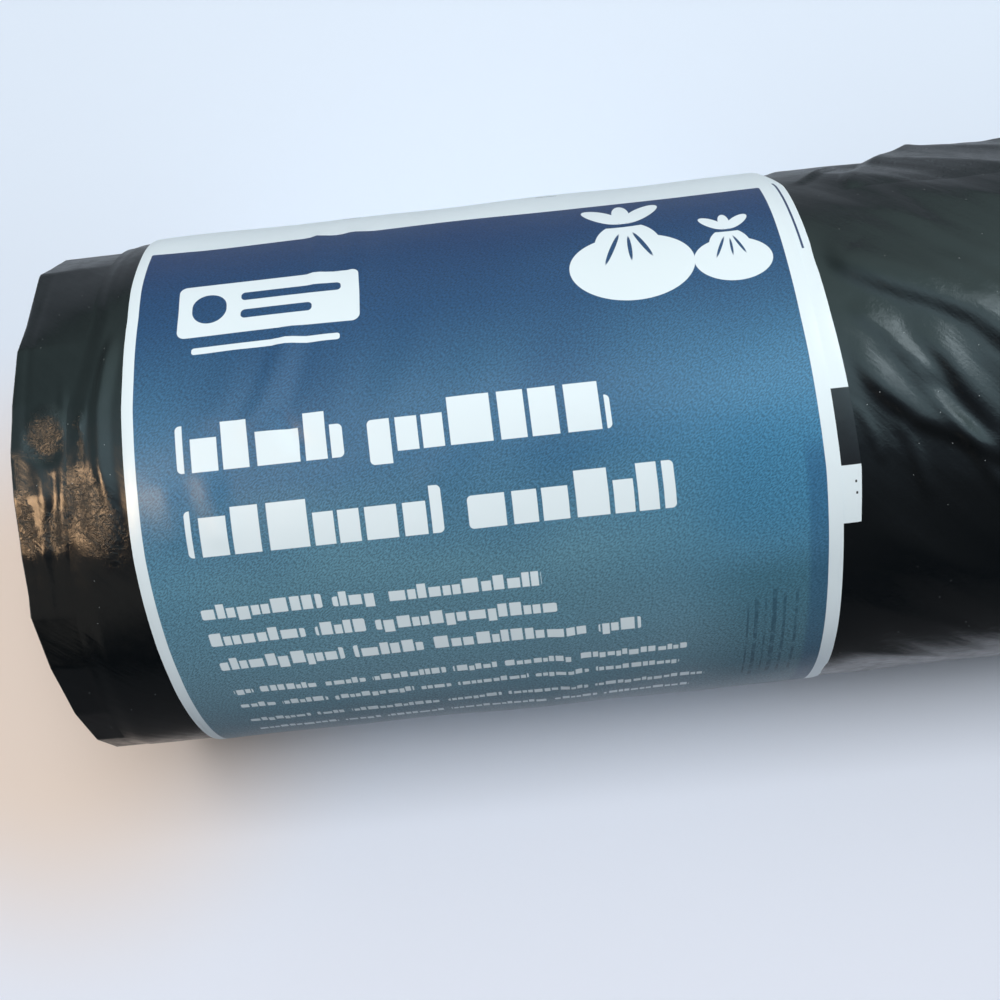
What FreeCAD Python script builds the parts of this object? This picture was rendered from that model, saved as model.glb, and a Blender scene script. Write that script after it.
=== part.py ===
"""A coreless roll of black bin bags held by a wrapped paper band. Lengths are in millimetres, angles in degrees.

The roll lies along X and rests on its small flat spot at z = 0. Angles round it are measured from straight up
and grow towards -Y, the side that faces the viewer.
"""

import math
import os

import FreeCAD
import Part
from FreeCAD import Vector

# The roll of film, and how far its soft underside has settled flat
roll_length = 165.0
roll_radius = 30.8
settle_depth = 0.6

# The core is what the winding spindle left: a hole with no tube in it, pressed out of round
core_width = 13.0
core_height = 10.0
core_lean = 25.0

# The inner turns stick out at the left end, and their rim is creased into flats. The outer turns start askew
nose_length = 6.2
nose_step = 0.7
nose_rim_drop = 0.45
outer_turns_skew = 3.4
nose_rim_corners = (-152, -121, -90, -62, -46, -22, -2, 33, 60, 79, 104, 133, 158, 183)

# Each end shows the edges of the wound film as one spiral. The turns inside each radius are pushed in so deep
turn_width = 2.6
turn_gap = 0.6
flats_per_turn = 17
turn_relief = 1.0
turn_clear_of_core = 2.5
rim_margin = 2.2
left_setbacks = ((15.0, 0.9),)
right_setbacks = ((25.0, 0.9), (18.5, 1.7), (12.5, 2.6))

# Twisted folds in the loose outer turns, from the band to the right end
fold_count = 14
fold_height = 0.34
fold_twist_per_mm = 1.25
fold_rise_length = 7.0
fold_wander = 30.0
fold_facing_angle = -12.0
fold_start_drop = 0.08
fold_points = 16
fold_point_bunching = 1.5
fold_scatter = 2.4
fold_unevenness = 0.3
fold_facing_share = 0.4
fold_wander_share = 0.3

# The free end of the last bag lies on the back of the roll and its edge stands off
tail_leave_angle = -44.0
tail_edge_angle = -76.0
tail_lift = 1.4
tail_clear_of_band = 13.8
tail_clear_of_end = 2.0

# The paper band: one strip, wound a little askew once round the roll and on over its own start
band_width = 73.4
band_thickness = 0.15
band_gap = 0.05
band_from_end = 11.4
band_start_angle = 30.0
band_overlap_angle = 116.0
band_skew_per_turn = 1.9
band_ramp_angle = 14.0
band_sample_angle = 2.5

# Cutting shapes reach this far past what they cut
cut_overshoot = 1.0

full_turn = 360.0
half_turn = 180.0
left_end = -roll_length / 2
right_end = roll_length / 2
band_radius = roll_radius + band_gap + band_thickness
axis_height = band_radius - settle_depth
band_left = left_end + band_from_end
band_right = band_left + band_width
outer_turns_left = left_end + nose_length


def polar(x, angle, radius):
    """The point at this angle and radius about the roll's axis."""
    turn = math.radians(angle)
    return Vector(x, -radius * math.sin(turn), axis_height + radius * math.cos(turn))


def smooth(value):
    """Rises from 0 to 1, with level ends, as value goes from 0 to 1."""
    held = min(max(value, 0.0), 1.0)
    return held * held * (3 - 2 * held)


def curve_through(points):
    """A smooth edge through these points."""
    curve = Part.BSplineCurve()
    curve.interpolate(Points=points)
    return curve.toShape()


def ruled_face(one, other):
    """The face of straight lines between two edges."""
    return Part.makeLoft([Part.Wire([one]), Part.Wire([other])], False, True).Faces[0]


def closed_solid(faces):
    """The solid inside faces that share their edges."""
    shell = Part.Shell(faces)
    shell.sewShape()
    solid = Part.Solid(shell)
    if solid.Volume < 0:
        solid.reverse()
    return solid


def bar(x_from, x_to, radius, y=0.0, z=axis_height):
    """A round bar along X."""
    return Part.makeCylinder(radius, x_to - x_from, Vector(x_from, y, z), Vector(1, 0, 0))


def nose():
    """The inner turns at the left end: a plug from the creased rim in to a round seat inside the outer turns."""
    seat = outer_turns_left + 2 * outer_turns_skew
    seat_radius = roll_radius - nose_step
    rim_radius = seat_radius - nose_rim_drop
    corners = list(nose_rim_corners) + [nose_rim_corners[0] + full_turn]
    rim_edges = []
    seat_edges = []
    flats = []
    for start, end in zip(corners, corners[1:]):
        rim = Part.makeLine(polar(left_end, start, rim_radius), polar(left_end, end, rim_radius))
        round_points = [polar(seat, angle, seat_radius) for angle in (start, (start + end) / 2, end)]
        arc = Part.Arc(*round_points).toShape()
        rim_edges.append(rim)
        seat_edges.append(arc)
        flats.append(ruled_face(rim, arc))
    return closed_solid(flats + [Part.Face(Part.Wire(rim_edges)), Part.Face(Part.Wire(seat_edges))])


def fold_line(index, folds_from):
    """The crest (even index) or valley (odd index) line of a fold, winding round the roll to the right end."""
    lines = 2 * fold_count
    shift = fold_unevenness * math.sin(fold_scatter * index)
    base_angle = full_turn * (index + shift) / lines
    side = 1 if index % 2 == 0 else -1
    points = []
    for step in range(fold_points + 1):
        beside = (right_end - folds_from) * (step / fold_points) ** fold_point_bunching
        angle = base_angle + fold_twist_per_mm * beside
        rise = smooth(beside / fold_rise_length)
        facing = 1 - fold_facing_share * (1 - math.cos(math.radians(angle - fold_facing_angle)))
        wave = math.cos(beside / fold_wander * math.pi + fold_scatter * index)
        wander = 1 - fold_wander_share * (1 - wave)
        radius = roll_radius - fold_start_drop * (1 - rise) + side * fold_height * rise * facing * wander
        points.append(polar(folds_from + beside, angle, radius))
    return curve_through(points)


def folded_turns(folds_from):
    """The loose outer turns right of the band, as strips between the crests and valleys of their folds."""
    lines = [fold_line(index, folds_from) for index in range(2 * fold_count)]
    pairs = list(zip(lines, lines[1:] + lines[:1]))
    strips = [ruled_face(one, other) for one, other in pairs]
    ends = []
    for vertex in (0, 1):
        corners = [line.Vertexes[vertex].Point for line in lines]
        ends.append(Part.Face(Part.makePolygon(corners + corners[:1])))
    return closed_solid(strips + ends)


def tail():
    """The free end of the last bag: a crescent that leaves the roll smoothly and ends in a raised edge."""
    wrap = tail_edge_angle - tail_leave_angle
    growth = tail_lift / (1 - math.cos(math.radians(wrap)))
    centre = polar(0, tail_leave_angle + half_turn, growth)
    x_from = band_right + tail_clear_of_band
    x_to = right_end - tail_clear_of_end
    crescent = bar(x_from, x_to, roll_radius + growth, centre.y, centre.z)
    reach = 2 * roll_radius
    corners = [polar(x_from, 0, 0), polar(x_from, tail_leave_angle, reach), polar(x_from, tail_edge_angle, reach)]
    wedge = Part.Face(Part.makePolygon(corners + corners[:1])).extrude(Vector(x_to - x_from, 0, 0))
    return crescent.common(wedge)


def spiral_point(x, first_radius, index):
    """A corner of the spiral: the turns are creased into flats, a fixed number to each turn."""
    turns = index / flats_per_turn
    return polar(x, full_turn * turns, first_radius + turn_width * turns)


def turn_gaps(x_from, x_to, last_radius):
    """The gap between the turns, as one spiral wall between two end planes."""
    first_radius = core_width / 2 + turn_clear_of_core
    corner_count = int(flats_per_turn * (last_radius - first_radius) / turn_width)
    inner = [spiral_point(x_from, first_radius, index) for index in range(corner_count)]
    outer = [spiral_point(x_from, first_radius + turn_gap, index) for index in range(corner_count)]
    outline = Part.makePolygon(inner + outer[::-1] + inner[:1])
    return Part.Face(outline).extrude(Vector(x_to - x_from, 0, 0))


def core_hole():
    """The oval hole along the axis."""
    oval = Part.Ellipse(Vector(0, 0, 0), core_width / 2, core_height / 2)
    face = Part.Face(Part.Wire([oval.toShape()]))
    face.rotate(Vector(0, 0, 0), Vector(0, 0, 1), core_lean)
    face.rotate(Vector(0, 0, 0), Vector(0, 1, 0), 90)
    face.translate(Vector(left_end - cut_overshoot, 0, axis_height))
    return face.extrude(Vector(roll_length + 2 * cut_overshoot, 0, 0))


def outer_turns(x_to):
    """The round outer turns: a bar whose left end is cut askew, so that they start further left on the near side."""
    lean = math.degrees(math.atan(outer_turns_skew / roll_radius))
    reach = 4 * roll_radius
    beyond = Part.makeBox(reach, reach, reach, Vector(outer_turns_left - reach, -reach / 2, axis_height - reach / 2))
    beyond.rotate(Vector(outer_turns_left, 0, axis_height), Vector(0, 0, 1), -lean)
    return bar(outer_turns_left - outer_turns_skew, x_to, roll_radius).cut(beyond)


def floor_block(x_from, x_to, top):
    """A block under a stretch of the roll, up to this height."""
    reach = 4 * roll_radius
    return Part.makeBox(x_to - x_from, reach, reach, Vector(x_from, -reach / 2, top - reach))


def film_roll():
    """The wound film as one solid: nose, outer turns and tail, less the core, the end spirals and the flat spot."""
    folds_from = band_right + band_skew_per_turn / 2
    solid = outer_turns(folds_from).fuse([folded_turns(folds_from), nose(), tail()])

    left_floor = left_end + max(depth for _, depth in left_setbacks) + turn_relief
    right_floor = right_end - max(depth for _, depth in right_setbacks) - turn_relief
    hollows = [
        core_hole(),
        turn_gaps(left_end - cut_overshoot, left_floor, roll_radius - nose_step - nose_rim_drop - rim_margin),
        turn_gaps(right_floor, right_end + cut_overshoot, roll_radius - rim_margin),
        floor_block(left_end - cut_overshoot, right_end + cut_overshoot, 0),
        floor_block(band_left - band_skew_per_turn, band_right + band_skew_per_turn, band_gap + band_thickness),
    ]
    hollows += [bar(left_end - cut_overshoot, left_end + depth, radius) for radius, depth in left_setbacks]
    hollows += [bar(right_end - depth, right_end + cut_overshoot, radius) for radius, depth in right_setbacks]
    return solid.cut(hollows).removeSplitter()


def band_x(sweep, right):
    """The band's left or right edge after this many degrees of its wrap."""
    askew = band_skew_per_turn * (1 - sweep / full_turn)
    return band_left + askew + (band_width if right else 0)


def band_curve(sweep_from, sweep_to, outside, right):
    """One of the band's four long edges over a round stretch, lifted onto the first turn where it comes over it."""
    count = math.ceil((sweep_to - sweep_from) / band_sample_angle)
    points = []
    for index in range(count + 1):
        sweep = sweep_from + (sweep_to - sweep_from) * index / count
        over_start = smooth((sweep - full_turn) / band_ramp_angle + 1)
        lift = over_start * (band_thickness + band_gap)
        radius = band_radius + lift - (0 if outside else band_thickness)
        points.append(polar(band_x(sweep, right), band_start_angle - sweep, radius))
    return curve_through(points)


def band_flat_sweep(outside, leaving):
    """The sweep at which this face of the band meets or leaves its flat stretch on the floor."""
    drop = 0 if outside else band_thickness
    half_angle = math.degrees(math.acos((axis_height - drop) / (band_radius - drop)))
    return band_start_angle + half_turn + (half_angle if leaving else -half_angle)


def label_band():
    """The paper band: a round stretch, the flat stretch under the roll, and a round stretch over the start."""
    corners = [(True, False), (True, True), (False, True), (False, False)]
    sweep_end = full_turn + band_overlap_angle
    faces = []
    stretches = [[], [], []]
    for outside, right in corners:
        onto_flat = band_flat_sweep(outside, False)
        off_flat = band_flat_sweep(outside, True)
        first = band_curve(0, onto_flat, outside, right)
        last = band_curve(off_flat, sweep_end, outside, right)
        flat = Part.makeLine(first.Vertexes[-1].Point, last.Vertexes[0].Point)
        for stretch, edge in zip(stretches, (first, flat, last)):
            stretch.append(edge)
    for stretch in stretches:
        for one, other in zip(stretch, stretch[1:] + stretch[:1]):
            faces.append(ruled_face(one, other))
    for stretch, vertex in ((stretches[0], 0), (stretches[-1], -1)):
        points = [edge.Vertexes[vertex].Point for edge in stretch]
        faces.append(Part.Face(Part.makePolygon(points + points[:1])))
    return closed_solid(faces)


def save(shape, node):
    """Writes one checked solid as this node's file."""
    assert shape.isValid() and len(shape.Solids) == 1, node
    shape.Solids[0].exportStep("parts/" + node + ".step")
    print(node, round(shape.Volume, 1), shape.BoundBox)


def main():
    os.makedirs("parts", exist_ok=True)
    save(film_roll(), "film_roll")
    save(label_band(), "label_band")


main()
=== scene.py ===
"""Dresses and lights a roll of black bin bags held by a printed paper band.

Sizes are in millimetres and angles in degrees, apart from names that end in _m. The roll lies along X. An angle
round it is measured from straight up and grows towards the viewer at -Y, and the flat lengths of film and paper are
that angle times the roll's radius.
"""

import functools
import logging
import math
from dataclasses import dataclass, field
from enum import Enum
from typing import Any, Sequence

import bpy
import numpy as np
from mathutils import Matrix, Vector

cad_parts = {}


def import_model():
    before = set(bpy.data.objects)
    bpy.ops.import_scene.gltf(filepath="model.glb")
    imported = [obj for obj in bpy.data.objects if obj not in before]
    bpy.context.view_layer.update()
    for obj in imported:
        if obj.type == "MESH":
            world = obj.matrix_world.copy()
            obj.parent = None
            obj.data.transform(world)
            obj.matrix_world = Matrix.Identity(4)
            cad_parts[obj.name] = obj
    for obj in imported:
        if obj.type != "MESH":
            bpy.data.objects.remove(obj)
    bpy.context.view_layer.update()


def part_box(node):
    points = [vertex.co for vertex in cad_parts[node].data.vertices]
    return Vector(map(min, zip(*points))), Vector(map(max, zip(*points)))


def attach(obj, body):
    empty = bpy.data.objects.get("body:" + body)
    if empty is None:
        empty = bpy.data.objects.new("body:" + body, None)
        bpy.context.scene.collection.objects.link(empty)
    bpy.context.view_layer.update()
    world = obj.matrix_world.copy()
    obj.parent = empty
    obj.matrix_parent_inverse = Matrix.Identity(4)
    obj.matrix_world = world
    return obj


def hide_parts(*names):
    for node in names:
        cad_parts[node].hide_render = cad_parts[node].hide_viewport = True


log = logging.getLogger("bin_bag_roll")

METRES = 0.001
FULL_TURN = 360.0
HALF_TURN = 180.0
SHARP_EDGE_ANGLE = math.radians(38)

Pair = tuple[float, float]
Colour = tuple[float, float, float]
Line = tuple[Pair, ...]
Stops = tuple[tuple[float, Colour], ...]


class Slot(Enum):
    """The record's material slots."""

    FILM = "black_film"
    PAPER = "printed_paper"


def smooth(value: np.ndarray) -> np.ndarray:
    """Rises from 0 to 1 with level ends: three times the square less twice the cube of the value held to 0..1."""
    held = np.clip(value, 0.0, 1.0)
    return held * held * (3 - 2 * held)


def polar(x: np.ndarray, angle: np.ndarray, radius: np.ndarray, axis_height: float) -> np.ndarray:
    """Points at these angles and radii about the roll's axis.

    Args:
        x: Places along the roll.
        angle: Angles from straight up, growing towards -Y.
        radius: Distances from the axis.
        axis_height: Height of the axis above the floor.

    Returns:
        An array of points with one more axis than the inputs: y is minus the radius times the sine of the angle, and
        z is the axis height plus the radius times its cosine.
    """
    turn = np.radians(angle)
    x, turn, radius = np.broadcast_arrays(x, turn, radius)
    return np.stack([x, -radius * np.sin(turn), axis_height + radius * np.cos(turn)], axis=-1)


@dataclass(frozen=True)
class Roll:
    """The sizes that the roll's pieces share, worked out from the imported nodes' boxes.

    Args:
        right: The roll's right end.
        band_right: The right edge of the paper band's start.
        radius: Radius of the wound film.
        axis_height: Height of the axis above the floor.
        band_width: The paper band's width.
        band_skew: How far the band moves to the left in one turn.
        band_thickness: The paper's thickness.
        band_gap: The air between the film and the band, and between the band's turns.
    """

    right: float
    band_right: float
    radius: float = 30.8
    axis_height: float = 30.4
    band_width: float = 73.4
    band_skew: float = 1.9
    band_thickness: float = 0.15
    band_gap: float = 0.05

    @classmethod
    def from_frame(cls) -> "Roll":
        """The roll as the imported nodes' boxes give it."""
        _, film_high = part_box("film_roll")
        _, band_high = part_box("label_band")
        return cls(right=film_high[0] / METRES, band_right=band_high[0] / METRES)

    @property
    def band_left(self) -> float:
        """The left edge of the band where its full turn ends."""
        return self.band_right - self.band_skew - self.band_width

    @property
    def band_radius(self) -> float:
        """The outer radius of the band's first turn."""
        return self.radius + self.band_gap + self.band_thickness

    def arc(self, angle: np.ndarray) -> np.ndarray:
        """Flat length of film for an angle."""
        return np.radians(angle) * self.radius

    def place(self, x: np.ndarray, angle: np.ndarray, radius: np.ndarray, floor: float = 0.0) -> np.ndarray:
        """Points on the roll, with those that would be under the floor laid flat on it."""
        points = polar(x, angle, radius, self.axis_height)
        points[..., 2] = np.maximum(points[..., 2], floor)
        return points


class Waves:
    """Smooth random waves round the roll: a sum of cosines of whole numbers of lobes, seamless at a full turn."""

    def __init__(self, seed: int, count: int, lobes: tuple[int, int], length: Pair,
                 twist: float) -> None:
        """Draws the cosines.

        Args:
            seed: Seed of the random draws.
            count: How many cosines are added.
            lobes: Least and most crests round the roll.
            length: Least and most wave length along the roll.
            twist: Degrees by which a crest winds round the roll for each millimetre along it.
        """
        draw = np.random.default_rng(seed)
        self.lobes = draw.integers(lobes[0], lobes[1] + 1, count)
        self.rate = math.tau / draw.uniform(*length, count) * draw.choice((-1.0, 1.0), count)
        self.phase = draw.uniform(0, math.tau, count)
        self.twist = twist

    def __call__(self, x: np.ndarray, angle: np.ndarray) -> np.ndarray:
        """The waves at these places, scaled to a mean square of one.

        Each cosine's argument is its lobes times the angle less the twist, plus its rate times x, plus its phase.
        """
        wound = np.radians(angle - self.twist * x)
        total = np.zeros(np.broadcast(x, angle).shape)
        for lobes, rate, phase in zip(self.lobes, self.rate, self.phase):
            total += np.cos(lobes * wound + rate * x + phase)
        return total * math.sqrt(2 / len(self.lobes))


@dataclass(frozen=True)
class Crease:
    """A crease in film or paper that fades out towards both its ends.

    Args:
        line: Its course as (x, angle) points.
        height: Height of its crest, or less than 0 for a furrow.
        reach: Distance from its line at which it has faded out.
        front_reach: The same on the viewer's side of a line that runs towards +X, where that differs.
        rounded: Whether its crest is round instead of sharp.
        end_share: The share of its length over which it fades out at each end.
    """

    line: Line
    height: float
    reach: float
    front_reach: float | None = None
    rounded: bool = False
    end_share: float = 0.22

    def lift(self, x: np.ndarray, angle: np.ndarray, radius: float) -> np.ndarray:
        """Heights at these places.

        The height falls with the distance from the nearest point of the crease's line, evenly or as an S curve, and
        towards the line's ends. The sign of the cross product of the line's run and the offset from it tells the
        side, and so the reach.
        """
        spot = np.stack(np.broadcast_arrays(x, np.radians(angle) * radius), axis=-1)
        corners = [np.array((place, math.radians(turn) * radius)) for place, turn in self.line]
        runs = [end - start for start, end in zip(corners, corners[1:])]
        length = sum(np.linalg.norm(run) for run in runs)
        nearest = np.full(spot.shape[:-1], np.inf)
        reach = np.full_like(nearest, self.reach)
        passed = np.zeros_like(nearest)
        walked = 0.0
        for start, run in zip(corners, runs):
            span = np.linalg.norm(run)
            along = np.clip(((spot - start) @ run) / span ** 2, 0.0, 1.0)
            offset = spot - start - along[..., None] * run
            distance = np.linalg.norm(offset, axis=-1)
            closer = distance < nearest
            in_front = run[0] * offset[..., 1] - run[1] * offset[..., 0] > 0
            nearest = np.where(closer, distance, nearest)
            reach = np.where(closer, np.where(in_front, self.front_reach or self.reach, self.reach), reach)
            passed = np.where(closer, (walked + along * span) / length, passed)
            walked += span
        share = np.clip(1 - nearest / reach, 0.0, 1.0)
        ends = smooth(passed / self.end_share) * smooth((1 - passed) / self.end_share)
        return self.height * ends * (smooth(share) if self.rounded else share)


@dataclass(frozen=True)
class Patch:
    """A finely crinkled patch of film that lies a little askew.

    Args:
        x: Its middle along the roll.
        angle: Its middle round the roll.
        half: Its half sizes along and round the roll.
        slope: How much it rises for each millimetre along and round the roll.
        lean: Its turn in the plane of the film.
    """

    x: float
    angle: float
    half: Pair
    slope: Pair
    lean: float = 0.0

    def lift(self, x: np.ndarray, angle: np.ndarray, radius: float) -> np.ndarray:
        """Heights at these places: a slope through the patch's middle, faded out over an ellipse's border."""
        along = x - self.x
        around = np.radians(angle - self.angle) * radius
        share = np.hypot(along / self.half[0], around / self.half[1])
        return smooth((1.4 - share) / 0.7) * (self.slope[0] * along + self.slope[1] * around)


def creased(marks: Sequence[Crease | Patch], x: np.ndarray, angle: np.ndarray, radius: float) -> np.ndarray:
    """The heights of creases and patches added up."""
    total = np.zeros(np.broadcast(x, angle).shape)
    for mark in marks:
        total += mark.lift(x, angle, radius)
    return total


def add_object(name: str, data: bpy.types.ID) -> bpy.types.Object:
    """Adds an object to the scene for this mesh, lamp or camera."""
    made = bpy.data.objects.new(name, data)
    bpy.context.scene.collection.objects.link(made)
    return made


class Net:
    """A grid of points that becomes a mesh of quads, closed round its columns and maybe its rows."""

    def __init__(self, points: np.ndarray, flat: np.ndarray, rows_close: bool, turned: bool = False) -> None:
        """Keeps the grid. Its last column always meets the first.

        Args:
            points: Points in millimetres, as rows, columns and x, y, z.
            flat: Flat coordinates in millimetres at the quads' corners, with one more column than points and, where
                the rows close, one more row.
            rows_close: Whether the last row meets the first.
            turned: Whether the quads' corners run the other way, so that the faces look out.
        """
        self.points = points
        self.flat = flat
        self.rows_close = rows_close
        self.turned = turned

    def faces(self) -> tuple[np.ndarray, np.ndarray]:
        """The quads' corners as point numbers, and as numbers into the flat coordinates."""
        rows, columns = self.points.shape[:2]
        row = np.arange(rows if self.rows_close else rows - 1)[:, None]
        column = np.arange(columns)[None, :]
        corners = ((0, 0), (0, 1), (1, 1), (1, 0))[::-1 if self.turned else 1]
        point = [(row + down) % rows * columns + (column + across) % columns for down, across in corners]
        width = self.flat.shape[1]
        spot = [(row + down) * width + column + across for down, across in corners]
        return np.stack(point, axis=-1).reshape(-1, 4), np.stack(spot, axis=-1).reshape(-1, 4)

    def make(self, name: str) -> bpy.types.Object:
        """Makes the mesh and its object, with the flat coordinates as a UV map in millimetres named flat."""
        quads, spots = self.faces()
        mesh = bpy.data.meshes.new(name)
        mesh.vertices.add(self.points.shape[0] * self.points.shape[1])
        mesh.vertices.foreach_set("co", (self.points * METRES).astype(np.float32).ravel())
        mesh.loops.add(quads.size)
        mesh.loops.foreach_set("vertex_index", quads.astype(np.int32).ravel())
        mesh.polygons.add(len(quads))
        mesh.polygons.foreach_set("loop_start", np.arange(0, quads.size, 4, dtype=np.int32))
        mesh.polygons.foreach_set("use_smooth", np.ones(len(quads), dtype=bool))
        layer = mesh.uv_layers.new(name="flat")
        layer.data.foreach_set("uv", self.flat.reshape(-1, 2)[spots.ravel()].astype(np.float32).ravel())
        mesh.update(calc_edges=True)
        mesh.validate()
        mesh.set_sharp_from_angle(angle=SHARP_EDGE_ANGLE)
        return add_object(name, mesh)


def thin_sheet(top: np.ndarray, below: np.ndarray, flat: np.ndarray, back_shift: float = 0.0,
               turned: bool = False) -> Net:
    """A thin closed sheet: its columns go out over the face and back under it.

    A row more closes each end, in which every point above meets its partner below half way.

    Args:
        top: The face's points.
        below: The back's points.
        flat: The face's flat coordinates.
        back_shift: How far the back's flat coordinates lie to the left of the face's.
        turned: Whether the quads' corners run the other way, so that the faces look out.

    Returns:
        The sheet as a net.
    """
    points = np.concatenate([top, below[:, ::-1]], axis=1)
    first, last = (points[:1] + points[:1, ::-1]) / 2, (points[-1:] + points[-1:, ::-1]) / 2
    flat = np.concatenate([flat, flat[:, ::-1] - (back_shift, 0.0), flat[:, :1]], axis=1)
    flat = np.concatenate([flat[:1], flat, flat[-1:]])
    return Net(np.concatenate([first, points, last]), flat, rows_close=False, turned=turned)


def within_turn(angle: np.ndarray) -> np.ndarray:
    """An angle round the roll brought between minus and plus half a turn."""
    return np.mod(angle + HALF_TURN, FULL_TURN) - HALF_TURN


@dataclass(frozen=True)
class PressedFilm:
    """Dents and creases that the paper band and the film under it share, so that neither cuts the other."""

    roll: Roll
    creases: tuple[Crease, ...] = (
        Crease(((-51.9, -23.5), (-53.6, -18.0), (-56.2, -6.1), (-59.3, 2.1)), 0.3, 3.2, 1.1),
        Crease(((-50.6, -22.0), (-52.0, -12.0), (-54.6, -1.0)), -0.22, 1.6),
        Crease(((-50.6, -56.0), (-50.2, -29.0)), 0.26, 1.8, 1.0),
        Crease(((-46.8, -56.0), (-44.8, -28.6)), 0.24, 2.2, 1.4),
        Crease(((-65.5, -52.0), (-64.5, -35.0)), 0.1, 1.4),
        Crease(((-54.8, -4.0), (-53.6, 0.0), (-52.2, 5.0)), -0.3, 1.2),
        Crease(((-58.6, -19.0), (-59.6, -8.0), (-61.6, 0.0)), 0.16, 2.6),
        Crease(((-63.0, 4.0), (-62.4, 12.0), (-61.0, 23.0)), 0.2, 2.2),
        Crease(((-67.4, 6.0), (-66.6, 14.0), (-65.6, 22.0)), 0.16, 2.6),
        Crease(((-27.6, 42.0), (-27.2, 58.0), (-27.0, 76.0)), 0.24, 1.8),
        Crease(((-47.0, -18.0), (-48.0, -8.0), (-50.0, 6.0)), 0.16, 3.0),
        Crease(((-38.0, -24.0), (-41.0, -10.0), (-45.0, 4.0)), 0.12, 3.0),
        Crease(((-30.0, -14.0), (-36.0, 2.0), (-40.0, 18.0)), 0.12, 3.4),
    )
    waves: Waves = Waves(seed=5, count=9, lobes=(3, 11), length=(24.0, 70.0), twist=-0.5)
    wave_height: float = 0.07
    floor_fade: Pair = (-0.9, 0.3)

    def lift(self, x: np.ndarray, angle: np.ndarray) -> np.ndarray:
        """Heights above the round roll: the creases plus slow waves, faded out to nothing at the roll's underside."""
        height = creased(self.creases, x, angle, self.roll.band_radius) + self.wave_height * self.waves(x, angle)
        level, fade = self.floor_fade
        return height * smooth((np.cos(np.radians(angle)) - level) / fade)


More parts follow.
